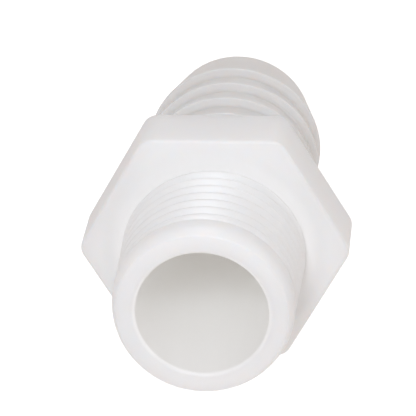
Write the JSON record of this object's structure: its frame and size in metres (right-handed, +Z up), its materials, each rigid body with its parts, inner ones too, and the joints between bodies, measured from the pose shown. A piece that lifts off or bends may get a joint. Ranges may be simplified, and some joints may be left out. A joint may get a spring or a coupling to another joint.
{
  "type": "hose barb adapter",
  "caption": "Moulded nylon hose adapter: a tapered male pipe thread, a hexagonal wrench collar and a barbed hose tail around a straight bore.",
  "frame": {"origin": "on the bore's axis, in the plane of the collar's thread-side face", "axes": "+Y along the bore from the thread to the hose tail, +Z up through the middle of a wrench flat, +X to the right seen from the thread"},
  "size_m": [0.0318, 0.0551, 0.0282],
  "materials": {
    "nylon": "natural white nylon, satin as moulded and slightly translucent"
  },
  "bodies": {
    "root": {"threaded_spigot": "nylon", "hex_collar": "nylon", "hose_tail": "nylon"}
  },
  "joints": []
}
